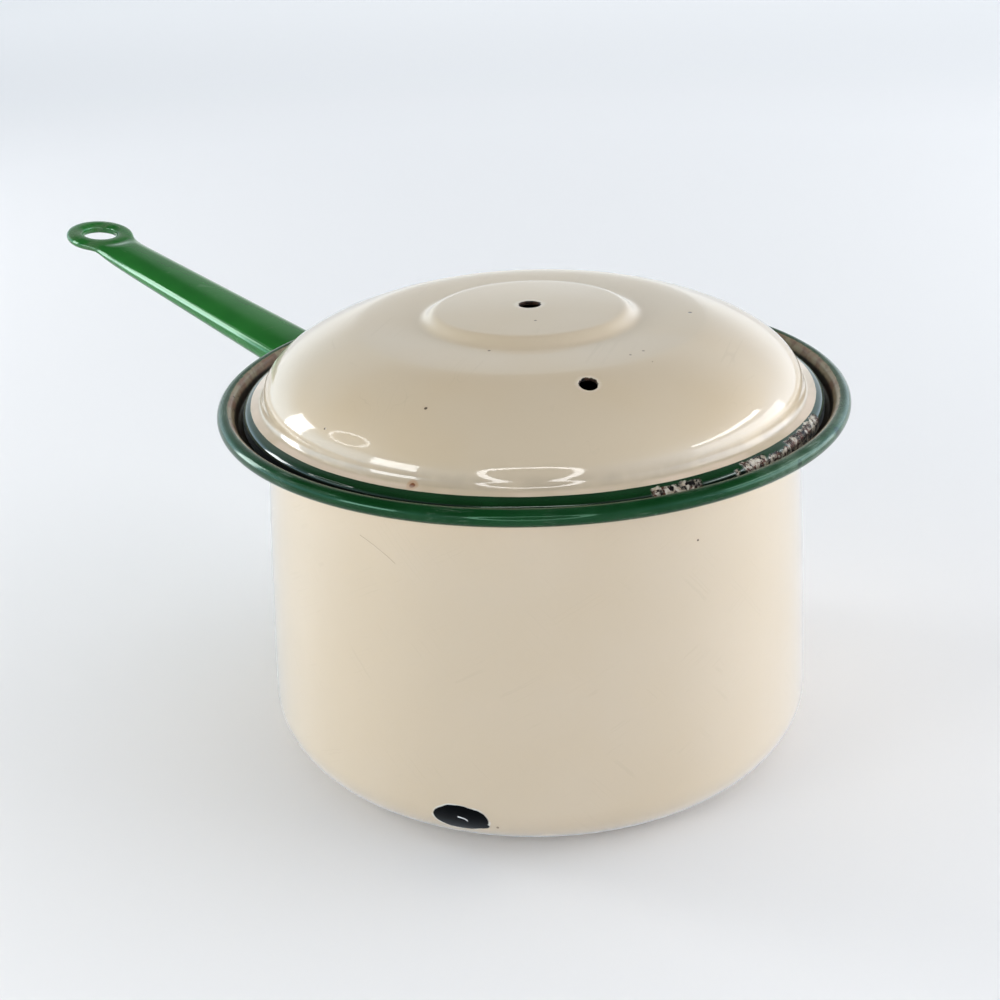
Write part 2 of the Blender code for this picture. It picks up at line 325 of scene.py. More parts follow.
def turned(line, steps):
    """Turns a line of (radius, height) points about the pan's axis into a smooth open sheet."""
    bm = bmesh.new()
    points = [bm.verts.new((r, 0.0, z)) for r, z in line]
    edges = [bm.edges.new(pair) for pair in zip(points, points[1:])]
    bmesh.ops.spin(bm, geom=points + edges, cent=(0, 0, 0), axis=(0, 0, 1), angle=math.tau,
                   steps=steps, use_merge=True, use_duplicate=False)
    bmesh.ops.remove_doubles(bm, verts=bm.verts, dist=0.000002)
    bmesh.ops.recalc_face_normals(bm, faces=bm.faces)
    return bm


def placed(name, bm, body):
    """Makes the piece from its mesh, smooth all over, and lets it ride on its body."""
    for face in bm.faces:
        face.smooth = True
    mesh = bpy.data.meshes.new(name)
    bm.to_mesh(mesh)
    bm.free()
    piece = bpy.data.objects.new(name, mesh)
    bpy.context.scene.collection.objects.link(piece)
    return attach(piece, body)


def walled(piece, sheet, offset):
    """Gives an open sheet its thickness. The far side takes the piece's second material."""
    wall = piece.modifiers.new("Sheet", "SOLIDIFY")
    wall.thickness = sheet
    wall.offset = offset
    wall.use_even_offset = True
    wall.material_offset = 1


half = PAN_SHEET / 2
pan_line = arc(ROLL_CENTRE, ROLL_RADIUS - half, -120, 156.8)
pan_line += arc(*SEAT_BEND, -23.2, -63)
pan_line += arc(*NECK_BEND, 117, 180)
for i in range(1, WALL_POINTS):
    height = NECK_TOP + (HEEL_RADIUS - NECK_TOP) * i / WALL_POINTS
    pan_line.append((wall_radius(height) - half, height))
pan_line += arc((FOOT_RADIUS - HEEL_RADIUS, HEEL_RADIUS), HEEL_RADIUS - half, 0, -90, 5)
pan_line += straight(pan_line[-1], (0.0, half), BASE_POINTS)
pan = placed("pan", turned(pan_line, PAN_STEPS), "pan")
walled(pan, PAN_SHEET, 0.0)
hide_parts("pan_shell")

CREAM = (0.543, 0.442, 0.322)
RIM_GREEN = (0.0022, 0.028, 0.0052)
GLASS_IOR = 1.5
SHEEN_TINT = (0.80, 0.90, 1.0)
SHEEN_ROUGHNESS = 0.35


def enamel(name, sheen=0.0, tint=(1.0, 1.0, 1.0)):
    """A new glass enamel: the material, its shader, and where on the piece each point lies. The tint
    is its gloss's."""
    material = bpy.data.materials.new(name)
    material.use_nodes = True
    shader = material.node_tree.nodes["Principled BSDF"]
    shader.inputs["IOR"].default_value = GLASS_IOR
    shader.inputs["Sheen Weight"].default_value = sheen
    shader.inputs["Sheen Roughness"].default_value = SHEEN_ROUGHNESS
    shader.inputs["Sheen Tint"].default_value = (*SHEEN_TINT, 1.0)
    shader.inputs["Specular Tint"].default_value = (*tint, 1.0)
    coords = material.node_tree.nodes.new("ShaderNodeTexCoord").outputs["Object"]
    return material, shader, Paint(material.node_tree, coords)


def shaken(place, amount, size):
    """The same places, each moved a little at random, which makes a drawn border uneven."""
    drift = place.node("TexNoise", {"Vector": place, "Scale": 1.0 / size, "Detail": 3.0}, out=1)
    moved = place.node("VectorMath", {0: drift, 1: (amount,) * 3, 2: (-amount / 2,) * 3},
                       operation="MULTIPLY_ADD")
    return place.node("VectorMath", {0: place, 1: moved}, operation="ADD")


def split(place):
    """The x, y and z of each point."""
    return [place.node("SeparateXYZ", {0: place}, out=i) for i in range(3)]


def from_axis(x, y):
    """How far each point lies from the pan's axis."""
    return (x * x + y * y) ** 0.5


def clouded(place, size, colour, shares):
    """The colour in soft clouds, which hold only these shares of its red, green and blue."""
    shade = tuple(part * share for part, share in zip(colour, shares))
    return place.noise(size).step(0.35, 0.65).over(colour, shade)


def spot(place, centre, size):
    """A round mask about a point."""
    away = place.node("VectorMath", {0: place, 1: centre}, out=1, operation="DISTANCE")
    return away.step(size, size * 0.6)


def specks(place, spacing, size, share):
    """Small round specks: one may lie in each cell of the spacing, and the share of cells has one."""
    inputs = {"Vector": place, "Scale": 1.0 / spacing}
    near = place.node("TexVoronoi", inputs)
    chance = place.node("SeparateColor", {0: place.node("TexVoronoi", inputs, out=1)})
    return near.step(size / spacing, size / spacing * 0.5) * chance.step(share, share - 0.02)


def scratches(place, tilt, patch=0.013, reach=(0.30, 0.0032, 0.0032), width=0.022):
    """Fine straight scratches along one slant, in the places where the enamel has been rubbed."""
    drawn = place.node("Mapping", {"Vector": place, "Rotation": tilt, "Scale": reach},
                       vector_type="TEXTURE")
    line = drawn.noise(1.0, 0.0).near(0.5, width, width * 0.3)
    return line * place.noise(patch).step(0.55, 0.66)


def uneven(place, shader, marks, peel=0.000012, wave=0.00006):
    """Joins the bumps to the shader: the enamel's fine peel and slow waves, less the marks' depth."""
    height = place.noise(0.0016, 1.0) * peel + place.noise(0.024, 1.0) * wave - marks
    bump = height.node("Bump", {"Height": height, "Distance": 1.0})
    bump.feeds(shader, "Normal")


# Colours of wear outside, from the scuffed foot to the knocked heel.
FOOT_GRIME = (0.40, 0.31, 0.21)
STAND_GREY = (0.20, 0.17, 0.15)
FINE_SCRATCH = (0.36, 0.29, 0.20)
DEEP_SCRATCH = (0.20, 0.15, 0.10)
PIT = (0.10, 0.06, 0.03)
DIRT = (0.04, 0.02, 0.01)
STAIN_DOT = (0.12, 0.08, 0.04)
BROKEN_EDGE = (0.62, 0.60, 0.53)
GROUND_COAT = (0.0008, 0.0008, 0.0010)
GROUND_COAT_PALER = (0.006, 0.005, 0.005)
PAINTED_GLINT = (0.62, 0.62, 0.62)

outside, shader, place = enamel("cream_outside", sheen=0.42)
rough = shaken(place, 0.0010, 0.004)
x, y, z = split(rough)
radius = from_axis(x, y)
around = y.math("ARCTAN2", x)
cream = clouded(place, 0.060, CREAM, (0.985, 0.970, 0.935))
foot_rub = z.step(0.012, 0.0) * place.noise(0.012, 4.0).step(0.40, 0.75)
cream = (foot_rub * 0.35).over(cream, FOOT_GRIME)
stand_rub = z.step(0.0008, 0.0) * radius.step(0.065, 0.074) * place.noise(0.009, 5.0).step(0.42, 0.68)
cream = (stand_rub * 0.7).over(cream, STAND_GREY)
unrolled = around.node("CombineXYZ", {0: around * FOOT_RADIUS, 1: z, 2: 0.0})
hairs = scratches(unrolled, (0.0, 0.0, 0.5)).or_(scratches(unrolled, (0.0, 0.0, 2.3), 0.018))
hairs = hairs * z.step(0.003, 0.006)
cream = (hairs * 0.10).over(cream, FINE_SCRATCH)
pits = specks(place, 0.017, 0.00028, 0.30)
cream = (pits * 0.8).over(cream, PIT)

# A hair scratch below the rim, which falls away along the wall, and a speck of dirt beside it.
HAIR_FROM = 0.1427
HAIR_TOP = 0.0980
HAIR_LENGTH = 0.0121
WALL_BY_HAIR = 0.0858
DIRT_AT = (-0.0820, 0.0252, 0.0952)

along = around * WALL_BY_HAIR - HAIR_FROM
height = split(place)[2]
line = height.near(HAIR_TOP - 0.30 * along - 16.0 * along * along, 0.00018, 0.00004)
hair = line * along.step(-0.0002, 0.0002) * along.step(HAIR_LENGTH + 0.0003, HAIR_LENGTH - 0.0003)
cream = (hair * 0.55).over(cream, DEEP_SCRATCH)
cream = spot(rough, DIRT_AT, 0.00042).over(cream, DIRT)

# A knocked heel: the enamel is off down to its black ground coat, in an oval with pale broken edges.
# A painted highlight lies in it as a pale curved mark, also raised a little. A brown dot lies beside it.
CHIP_BEARING = math.radians(115)
HEEL_REACH = 0.0902
PAINTED_GLINT_FROM = 0.0009
DOT_AT = (-0.0477, 0.0758, 0.0099)

across = (around - CHIP_BEARING) * HEEL_REACH
lift = ((z - HEEL_RADIUS) / HEEL_RADIUS).math("ARCSINE") * HEEL_RADIUS


def oval(centre, size):
    """How far out each point lies from an oval on the heel: 1 on its edge."""
    return ((across - centre[0]) / size[0]) ** 2 + ((lift - centre[1]) / size[1]) ** 2


chip_body = oval((0.0002, -0.0034), (0.0085, 0.00495))
chip_tail = oval((0.0061, -0.0056), (0.0029, 0.0015))
heel_far = chip_body.math("MINIMUM", chip_tail)
on_heel = z.step(0.030, 0.028)
chip = heel_far.step(1.05, 0.97) * on_heel
broken = heel_far.step(1.24, 1.08) * on_heel * (0.25 + place.noise(0.0035).step(0.38, 0.60))
cream = (broken * 0.75).over(cream, BROKEN_EDGE)
black = (place.noise(0.0012, 3.0).step(0.55, 0.8) * 0.5).over(GROUND_COAT, GROUND_COAT_PALER)
cream = chip.over(cream, black)
# The pale curved mark in the chip is a painted highlight.
painted_glint_at = across - PAINTED_GLINT_FROM
painted_glint_line = lift + 0.0032 + 0.39 * painted_glint_at + 90.0 * painted_glint_at * painted_glint_at
painted_glint = (painted_glint_line.math("ABSOLUTE").step(0.00034, 0.00020)
          * painted_glint_at.math("ABSOLUTE").step(0.0017, 0.0013)) * on_heel
cream = painted_glint.over(cream, PAINTED_GLINT)
dot = spot(rough, DOT_AT, 0.00055)
cream = (dot * 0.7).over(cream, STAIN_DOT)
under_roll = z.step(0.1120, 0.1124) * radius.step(0.0925, 0.0930)
cream = under_roll.over(cream, RIM_GREEN)
cream.feeds(shader, "Base Color")
(chip * (1 - painted_glint)).feeds(shader, "Metallic")
(0.5 * (1 - chip)).feeds(shader, "Coat Weight")
(0.09 + foot_rub * 0.12 + hairs * 0.15 + chip * (1 - painted_glint) * 0.35
 + stand_rub * 0.3).feeds(shader, "Roughness")
uneven(place, shader, (pits + hair) * 0.00003 + chip * 0.00030 - painted_glint * 0.00012)


# The pan's inside and rim, one surface: the roll is green and rubbed, the throat under it stained tan
# with painted shade in it and painted near black lower down, as grime and as the shade of the gap under
# the lid, and the seat and the hollow below it cream with the grey and brown marks of use.
def roll_angle(radius, height):
    """Degrees round the rolled edge: 0 outermost, 90 on top, falling inside to 180."""
    return (height - ROLL_CENTRE[1]).math("ARCTAN2", radius - ROLL_CENTRE[0]) * math.degrees(1)


# Colours of use, from the cooked stains on the base to the marks on the green roll. The throat's tan
# and black also hold painted shade, and the roll's worn grey-green a painted reflection.
COOKED_STAIN = (0.30, 0.20, 0.11)
STIRRED_GREY = (0.13, 0.12, 0.11)
INSIDE_PIT = (0.05, 0.03, 0.02)
SEAT_BROWN = (0.24, 0.18, 0.13)
THROAT_TAN_STAIN_AND_SHADE = (0.34, 0.28, 0.19)
THROAT_BROWN = (0.27, 0.16, 0.115)
THROAT_DARK = (0.18, 0.11, 0.075)
GRIME_AND_SHADE_BLACK = (0.004, 0.003, 0.003)
THROAT_PIT = (0.006, 0.004, 0.003)
RIM_GREEN_PALER = (0.004, 0.042, 0.009)
RIM_RUBBED = (0.075, 0.130, 0.080)
RIM_WORN_AND_REFLECTION = (0.15, 0.20, 0.145)
RIM_DUST = (0.11, 0.28, 0.16)
RIM_LINE = (0.25, 0.33, 0.24)
RIM_TAN = (0.30, 0.245, 0.165)
RIM_DARK_CHIP = (0.003, 0.016, 0.006)

# Heights inside the pan: the cooking's tide line, the seat's foot and top, and the throat's foot.
TIDE = 0.062
SEAT_FROM = 0.1052
SEAT_TO = 0.1135
THROAT_FROM = 0.1098

THROAT_PITS = ((0.0699, 0.0651, 0.1165), (0.0635, 0.0704, 0.1151), (0.0542, 0.0793, 0.1170),
               (0.0280, 0.0930, 0.1175))
DARK_CHIPS = (((-0.0971, -0.0234, 0.1158), 0.0022), ((-0.0999, 0.0024, 0.1155), 0.0014),
              ((0.0280, 0.0930, 0.1175), 0.0012))

inside, shader, place = enamel("cream_inside_green_rim", tint=(0.50, 1.0, 0.72))
shader.inputs["Specular IOR Level"].default_value = 0.28
rough = shaken(place, 0.0007, 0.003)
x, y, z = split(rough)
radius = from_axis(x, y)
around = y.math("ARCTAN2", x)
turn = roll_angle(radius, z)
from_roll = ((radius - ROLL_CENTRE[0]) ** 2 + (z - ROLL_CENTRE[1]) ** 2) ** 0.5
on_roll = from_roll.step(0.0036, 0.0033) * turn.step(-140, -132)
green = on_roll * turn.step(118, 114)
cream = clouded(place, 0.050, CREAM, (0.97, 0.94, 0.88))
low = z.step(0.060, 0.004)
tide = (z - TIDE - (place.noise(0.030) - 0.5) * 0.010).math("ABSOLUTE").step(0.0026, 0.0002)
stain = (low * place.noise(0.022, 5.0).step(0.42, 0.72) * 0.55).or_(tide * 0.30)
cream = stain.over(cream, COOKED_STAIN)
stirred = scratches(place, (0.2, 0.1, 0.5)).or_(scratches(place, (0.1, 0.3, 2.2))) * low
cream = (stirred * 0.7).over(cream, STIRRED_GREY)
pits = specks(place, 0.011, 0.00030, 0.40)
cream = (pits * 0.85).over(cream, INSIDE_PIT)
seat_rub = z.step(SEAT_FROM, SEAT_FROM + 0.0010) * z.step(SEAT_TO, SEAT_TO - 0.0020)
seat_rub = seat_rub * place.noise(0.008, 5.0).step(0.38, 0.75)
cream = (seat_rub * 0.6).over(cream, SEAT_BROWN)

# The throat is a tan stain, darkened further as painted shade, in browner patches.
throat = z.step(THROAT_FROM, THROAT_FROM + 0.0012)
brown = place.noise(0.010, 4.0).step(0.45, 0.62).over(THROAT_TAN_STAIN_AND_SHADE, THROAT_BROWN)
brown = (place.noise(0.0025, 4.0).step(0.50, 0.68) * 0.5).over(brown, THROAT_DARK)
# Near black below the lip: baked grime, and painted shade of the gap under the lid's edge.
grime_and_painted_shade = z.step(0.1153, 0.1142)
brown = (grime_and_painted_shade * (0.82 + 0.18 * place.noise(0.003, 3.0))).over(brown, GRIME_AND_SHADE_BLACK)
throat_pits = specks(place, 0.0042, 0.00036, 0.35)
for centre in THROAT_PITS:
    throat_pits = throat_pits.or_(spot(rough, centre, 0.0006))
brown = throat_pits.over(brown, THROAT_PIT)
cream = throat.over(cream, brown)

# The roll's green: rubbed pale on top, paler grey-green on the side away from the handle as wear with a
# painted reflection in it, dusty and most so next to that side, with fine drawn lines along it and a tan
# line where it meets the throat.
lap = around.node("CombineXYZ", {0: around * 0.1, 1: turn * 0.00005, 2: 0.0})
rim_green = (place.noise(0.014, 3.0).step(0.40, 0.70) * 0.6).over(RIM_GREEN, RIM_GREEN_PALER)
rubbed_top = turn.step(88, 108) * (0.10 + 0.5 * place.noise(0.007, 3.0).step(0.35, 0.75))
rim_green = rubbed_top.over(rim_green, RIM_RUBBED)
# Paler grey-green on the side away from the handle: wear, and a painted reflection.
worn_side_and_painted_reflection = (around.step(2.80, 3.10).or_(around.step(-2.00, -2.30))
             * (0.06 + 0.24 * place.noise(0.009, 3.0).step(0.35, 0.70)))
rim_green = worn_side_and_painted_reflection.over(rim_green, RIM_WORN_AND_REFLECTION)
fine = lap.node("Mapping", {"Vector": lap, "Scale": (6000.0, 22000.0, 1.0)})
dust = fine.noise(1.0, 3.0).step(0.58, 0.69).or_(specks(rough, 0.0021, 0.00024, 0.35))
dusty = (place.noise(0.020).step(0.38, 0.58)
         * (0.45 + 0.55 * around.step(2.15, 2.40) * around.step(3.0, 2.8)))
rim_green = (dust * (0.14 + dusty * 0.50)).over(rim_green, RIM_DUST)
drawn = lap.node("Mapping", {"Vector": lap, "Scale": (60.0, 2600.0, 1.0)})
rim_lines = drawn.noise(1.0).near(0.5, 0.012, 0.0)
rim_lines = rim_lines * place.noise(0.016).step(0.52, 0.62)
rim_green = (rim_lines * 0.45).over(rim_green, RIM_LINE)
tan_line = turn.step(108, 113) * turn.step(122, 117) * place.noise(0.040).step(0.30, 0.55)
rim_green = (tan_line * 0.65).over(rim_green, RIM_TAN)
for centre, size in DARK_CHIPS:
    rim_green = (spot(rough, centre, size) * 0.85).over(rim_green, RIM_DARK_CHIP)
cream = green.over(cream, rim_green)
cream.feeds(shader, "Base Color")
(0.10 + stain * 0.10 + stirred * 0.2 + throat * 0.22
 + green * (rubbed_top * 0.30 + dust * dusty * 0.3)
 - throat * green * 0.22).feeds(shader, "Roughness")
marks = pits + throat_pits * throat + green * (dust * dusty * 0.6 + rim_lines * 0.5)
uneven(place, shader, marks * 0.00003, peel=0.000016)

pan.data.materials.append(inside)
pan.data.materials.append(outside)


# Lid. One pressed steel shell that lies on the seat: a boss with the knob's screw hole, a domed
# shoulder with a punched steam hole, a flange, and an edge turned down. Cream, with a green edge.
LID_SHEET = 0.0010
LID_STEPS = 256
VENT = (-0.0507, 0.03446)
VENT_RADIUS = 0.0026
VENT_STEPS = 40
BOSS_TOP = 0.143164
BOSS_RADIUS = 0.029
BOSS_FALL = 0.0006
SHOULDER_END = 0.0840
LIP_WIDTH = 0.00035


def bezier(p0, p1, p2, p3, count):
    """Points on a cubic curve, without its first."""
    points = []
    for i in range(1, count + 1):
        t = i / count
        w = ((1 - t) ** 3, 3 * t * (1 - t) ** 2, 3 * t * t * (1 - t), t ** 3)
        points.append(tuple(sum(a * p[k] for a, p in zip(w, (p0, p1, p2, p3))) for k in (0, 1)))
    return points


def swept(start, slope, end_slope, radius):
    """Points of an arc that falls outwards, from one slope in degrees to another. A hollow one has a
    radius below 0. Its first point is left out."""
    count = max(3, math.ceil(abs(end_slope - slope) / 2.5))
    first = math.radians(slope)
    points = []
    for i in range(1, count + 1):
        a = math.radians(slope + (end_slope - slope) * i / count)
        points.append((start[0] + radius * (math.sin(a) - math.sin(first)),
                       start[1] + radius * (math.cos(a) - math.cos(first))))
    return points


# The lid's line, from the knob's hole outwards: the boss falls a little, its side drops to the dome,
# and the shoulder falls to the flange.
lid_line = [(0.0033, BOSS_TOP), (0.0042, 0.143163)]
for radius in (0.0055, 0.0080, 0.0110, 0.0145, 0.0180, 0.0215, 0.0250, 0.0270):
    lid_line.append((radius, BOSS_TOP - BOSS_FALL * (radius / BOSS_RADIUS) ** 2))
lid_line.append((0.0285, 0.142584))
lid_line += bezier(lid_line[-1], (0.0320, 0.142564), (0.0319, 0.139660), (0.0357, 0.139620), 14)
lid_line += bezier(lid_line[-1], (0.0420, 0.139580), (0.0500, 0.139790), (0.0541, 0.139390), 10)
shoulder = bezier(lid_line[-1], (0.061553, 0.138650), (0.0854, 0.129964), (0.0854, 0.118985), 60)
lid_line += [point for point in shoulder if point[0] < SHOULDER_END]

# Crease and flange: arcs that run on from the shoulder's slope, each with its last slope and radius.
(r0, z0), (r1, z1) = lid_line[-2:]
slope = math.degrees(math.atan2(z0 - z1, r1 - r0)) + 1
for end, bend in ((69.9, 0.0087), (79.7, 0.0137), (69.9, -0.0036), (57.6, -0.0056), (15.0, -0.0015)):
    lid_line += swept(lid_line[-1], slope, end, bend)
    slope = end
lid_line += straight(lid_line[-1], (0.0900, 0.11673), 3)
lid_line += arc((0.0896, 0.11425), 0.0025, 75, 0, 9)[1:]
lid_line += straight(lid_line[-1], (0.0921, 0.11215), 3)
bm = turned(lid_line, LID_STEPS)


def lid_height(radius):
    """Height of the lid's top side, read from its line."""
    for (r0, z0), (r1, z1) in zip(lid_line, lid_line[1:]):
        if r0 <= radius <= r1:
            return z0 + (z1 - z0) * (radius - r0) / (r1 - r0)
    raise ValueError("that radius is off the lid")


# The steam hole: the faces round it are taken out, and two rings close the sheet up to its edge.
near_vent = [f for f in bm.faces
             if (f.calc_center_median().xy - Vector(VENT)).length < VENT_RADIUS * 1.9]
bmesh.ops.delete(bm, geom=near_vent, context="FACES")
opening = [e for e in bm.edges if e.is_boundary
           and (e.verts[0].co.xy - Vector(VENT)).length < VENT_RADIUS * 3]
for radius in (VENT_RADIUS * 1.3, VENT_RADIUS):
    ring = bmesh.ops.create_circle(bm, cap_ends=False, segments=VENT_STEPS, radius=radius)["verts"]
    bmesh.ops.translate(bm, verts=ring, vec=(VENT[0], VENT[1], 0))
    for vert in ring:
        vert.co.z = lid_height(vert.co.xy.length)
    ring_edges = list({e for v in ring for e in v.link_edges})
    bmesh.ops.bridge_loops(bm, edges=opening + ring_edges)
    opening = ring_edges
bmesh.ops.recalc_face_normals(bm, faces=bm.faces)
lid = placed("lid", bm, "lid")
walled(lid, LID_SHEET, -1.0)
lip = lid.modifiers.new("Lips", "BEVEL")
lip.width = LIP_WIDTH
lip.segments = 3
lip.limit_method = "ANGLE"
lip.angle_limit = math.radians(55)
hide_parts("lid_shell")

# Colours of the lid's top side: the enamel, its wear and rust, painted shade in the crease and along the
# very edge, paler patches on the flange, and the torn edge.
LID_CREAM = (0.545, 0.443, 0.316)
CREASE_PAINTED_SHADE = (0.24, 0.20, 0.155)
LID_SCRATCH = (0.33, 0.27, 0.20)
LID_PIT = (0.05, 0.03, 0.02)
RUST_HALO = (0.42, 0.22, 0.10)
RUST = (0.16, 0.045, 0.015)
HOLE_RUBBED = (0.66, 0.58, 0.46)
HOLE_BLACK = (0.010, 0.008, 0.007)
HOLE_RUST = (0.060, 0.030, 0.018)
FLANGE_PALE = (0.76, 0.60, 0.47)
EDGE_GREEN_PALER = (0.005, 0.044, 0.011)
EDGE_SHADE_BLACK = (0.003, 0.010, 0.005)
TORN_BLACK = (0.007, 0.005, 0.005)
TORN_RUST = (0.110, 0.045, 0.028)
TORN_TAN = (0.36, 0.28, 0.19)
TORN_PALE = (0.62, 0.57, 0.47)
CRACK_TAN = (0.50, 0.42, 0.31)

# Pits in the lid's enamel, by place and size.
LID_PITS = (((0.0069, 0.0820), 0.00042), ((-0.0127, 0.0333), 0.00055), ((-0.0493, 0.0070), 0.00050),
            ((-0.0484, 0.0122), 0.00045), ((-0.0200, 0.0680), 0.00060), ((-0.0389, -0.0315), 0.00075),
            ((-0.0117, 0.0111), 0.00050), ((0.0255, 0.0804), 0.00075))
RUST_AT = (-0.0276, 0.0824, lid_height(0.0869))
KNOB_HOLE = (0.00034, -0.00037, lid_height(0.0036))
KNOB_HOLE_RADIUS = 0.0033
VENT_HOLE = (VENT[0] + 0.0002, VENT[1] - 0.0002, lid_height(math.hypot(*VENT)))

top_side, shader, place = enamel("cream_lid_green_edge", sheen=0.15)
rough = shaken(place, 0.0006, 0.004)
x, y, z = split(rough)
radius = from_axis(x, y)
around = y.math("ARCTAN2", x) * math.degrees(1)
cream = clouded(place, 0.050, LID_CREAM, (0.99, 0.965, 0.92))
# The crease is painted grey in patches: painted shade.
crease = radius.near(0.0858, 0.0011, 0.0003)
cream = (crease * place.noise(0.012, 3.0).step(0.30, 0.60) * 0.25).over(cream, CREASE_PAINTED_SHADE)
hairs = scratches(place, (0.0, 0.0, 2.0), 0.021)
cream = (hairs * 0.10).over(cream, LID_SCRATCH)
pits = specks(place, 0.015, 0.00026, 0.30)
for mark, size in LID_PITS:
    centre = (*mark, lid_height(math.hypot(*mark)))
    pits = pits.or_(spot(rough, centre, size))
cream = (pits * 0.9).over(cream, LID_PIT)
cream = (spot(rough, RUST_AT, 0.0021) * 0.55).over(cream, RUST_HALO)
cream = spot(rough, RUST_AT, 0.0011).over(cream, RUST)


def torn(hole, size):
    """How far each point lies outside a punched hole, whose edge is uneven where enamel broke."""
    rag = shaken(place, 0.0011, 0.0009)
    return rag.node("VectorMath", {0: rag, 1: hole}, out=1, operation="DISTANCE") - size


knob_edge = torn(KNOB_HOLE, KNOB_HOLE_RADIUS)
vent_edge = torn(VENT_HOLE, VENT_RADIUS)
lost = knob_edge.step(0.0004, 0.0002).or_(vent_edge.step(0.0003, 0.0001))
rubbed = knob_edge.step(0.0024, 0.0006).or_(vent_edge.step(0.0017, 0.0004))
cream = (rubbed * 0.45).over(cream, HOLE_RUBBED)
rusty = place.noise(0.0014, 3.0).step(0.40, 0.65).over(HOLE_BLACK, HOLE_RUST)
cream = lost.over(cream, rusty)

# The flange is paler and pinker in patches, and the green edge sits slightly off the lid's middle.
GREEN_FROM = 0.08935
GREEN_SHIFT = (-0.0005, 0.0005)

paler_flange = radius.step(0.0862, 0.0875) * place.noise(0.020).step(0.35, 0.60)
cream = (paler_flange * 0.6).over(cream, FLANGE_PALE)
edge_x, edge_y = [c + shift for c, shift in zip(split(shaken(place, 0.0005, 0.020)), GREEN_SHIFT)]
green = from_axis(edge_x, edge_y).step(GREEN_FROM, GREEN_FROM + 0.0002) * z.step(0.1205, 0.1195)
edge_green = (place.noise(0.015, 3.0).step(0.40, 0.70) * 0.5).over(RIM_GREEN, EDGE_GREEN_PALER)


def stretch(start, end):
    """A stretch of the edge between two bearings in degrees, soft at both ends."""
    return around.step(start - 0.5, start + 0.4) * around.step(end + 0.5, end - 0.4)


def bitten(bearings, reach):
    """Enamel that is torn off between two bearings, from the lid's edge in as far as a radius."""
    return bearings * bite.step(reach, reach + 0.0002)


# The torn stretches of the edge. One of them lies across the place where the bearings start again.
bite = radius + (place.noise(0.0024, 3.0) - 0.5) * 0.0028
chipped = bitten(stretch(151.1, 152.6), 0.0899)
chipped = chipped.or_(bitten(stretch(152.0, 157.0), 0.0906))
chipped = chipped.or_(bitten(stretch(156.4, 160.4), 0.0900))
chipped = chipped.or_(bitten(stretch(168.1, 168.9), 0.0910))
chipped = chipped.or_(bitten(stretch(170.3, 176.2), 0.0898))
chipped = chipped.or_(bitten(around.step(175.5, 176.0).or_(around.step(-176.0, -177.0)), 0.0914))
chipped = chipped.or_(bitten(stretch(-176.4, -160.8), 0.0896))
chipped = chipped * z.step(0.1205, 0.1195)
torn_place = shaken(place, 0.0016, 0.0016)
shard = torn_place.node("TexVoronoi", {"Vector": torn_place, "Scale": 900.0}, out=1)
shard = shard.node("SeparateColor", {0: shard})
flaked = shard * 0.35 + place.noise(0.0030, 3.0) * 0.65 + 0.06 * z.step(0.1150, 0.1140)
flaked = flaked.step(0.60, 0.50)
bare = place.noise(0.0022, 3.0).step(0.40, 0.66).over(TORN_BLACK, TORN_RUST)
pale = place.noise(0.0011, 3.0).step(0.35, 0.65).over(TORN_TAN, TORN_PALE)
flakes = flaked.over(pale, bare)
crack = place.noise(0.0013).near(0.5, 0.020, 0.008) * flaked
flakes = (crack * 0.8).over(flakes, CRACK_TAN)
cream = green.over(cream, edge_green)
cream = chipped.over(cream, flakes)

# The very edge is painted black, like bare ground coat: painted shade.
even_x, even_y, even_z = split(place)
even_radius = from_axis(even_x, even_y)
edge_painted_shade = green * even_z.step(0.1157, 0.1150) * (1 - chipped)
cream = edge_painted_shade.over(cream, EDGE_SHADE_BLACK)
cream.feeds(shader, "Base Color")
(chipped * flaked * 0.9 + lost * 0.9 + edge_painted_shade * 0.9).feeds(shader, "Metallic")
dulled = even_radius.near(0.0868, 0.0026, 0.0014)
dulled = dulled * around.step(-158, -166).or_(around.step(138, 152))
(0.055 + hairs * 0.05 + lost * 0.5 + chipped * 0.40 + dulled * 0.18
 + edge_painted_shade * 0.25).feeds(shader, "Roughness")
marks = pits * 0.00003 + lost * 0.00010 + chipped * (0.00012 - crack * 0.00010)
uneven(place, shader, marks, wave=0.00005)

# The underside: steamed brown in clouds, rusty under the knob's hole, its edge worn black.
STEAM_BROWN = (0.34, 0.24, 0.14)
UNDER_PIT = (0.06, 0.035, 0.02)
KNOB_RUST = (0.13, 0.050, 0.020)
WORN_BLACK = (0.030, 0.022, 0.020)

under_side, shader, place = enamel("cream_lid_underside")
x, y, z = split(shaken(place, 0.0010, 0.004))
radius = from_axis(x, y)
cream = clouded(place, 0.040, LID_CREAM, (0.96, 0.92, 0.84))
steamed = place.noise(0.018, 5.0).step(0.46, 0.75) * 0.45
cream = steamed.over(cream, STEAM_BROWN)
pits = specks(place, 0.008, 0.00030, 0.40)
cream = (pits * 0.85).over(cream, UNDER_PIT)
knob_rust = radius.step(0.0125, 0.0040) * place.noise(0.0040, 4.0).step(0.35, 0.62)
cream = (knob_rust * 0.9).over(cream, KNOB_RUST)
rim_wear = z.step(0.1140, 0.1122) * place.noise(0.005, 4.0).step(0.40, 0.60)
cream = (rim_wear * 0.9).over(cream, WORN_BLACK)
green = radius.step(0.0893, 0.0896) * z.step(0.1150, 0.1145)
cream = (green * (1 - rim_wear)).over(cream, RIM_GREEN)
cream.feeds(shader, "Base Color")
(0.13 + steamed * 0.25 + knob_rust * 0.4 + rim_wear * 0.4).feeds(shader, "Roughness")
uneven(place, shader, (pits + knob_rust + rim_wear) * 0.00003)

lid.data.materials.append(top_side)
lid.data.materials.append(under_side)


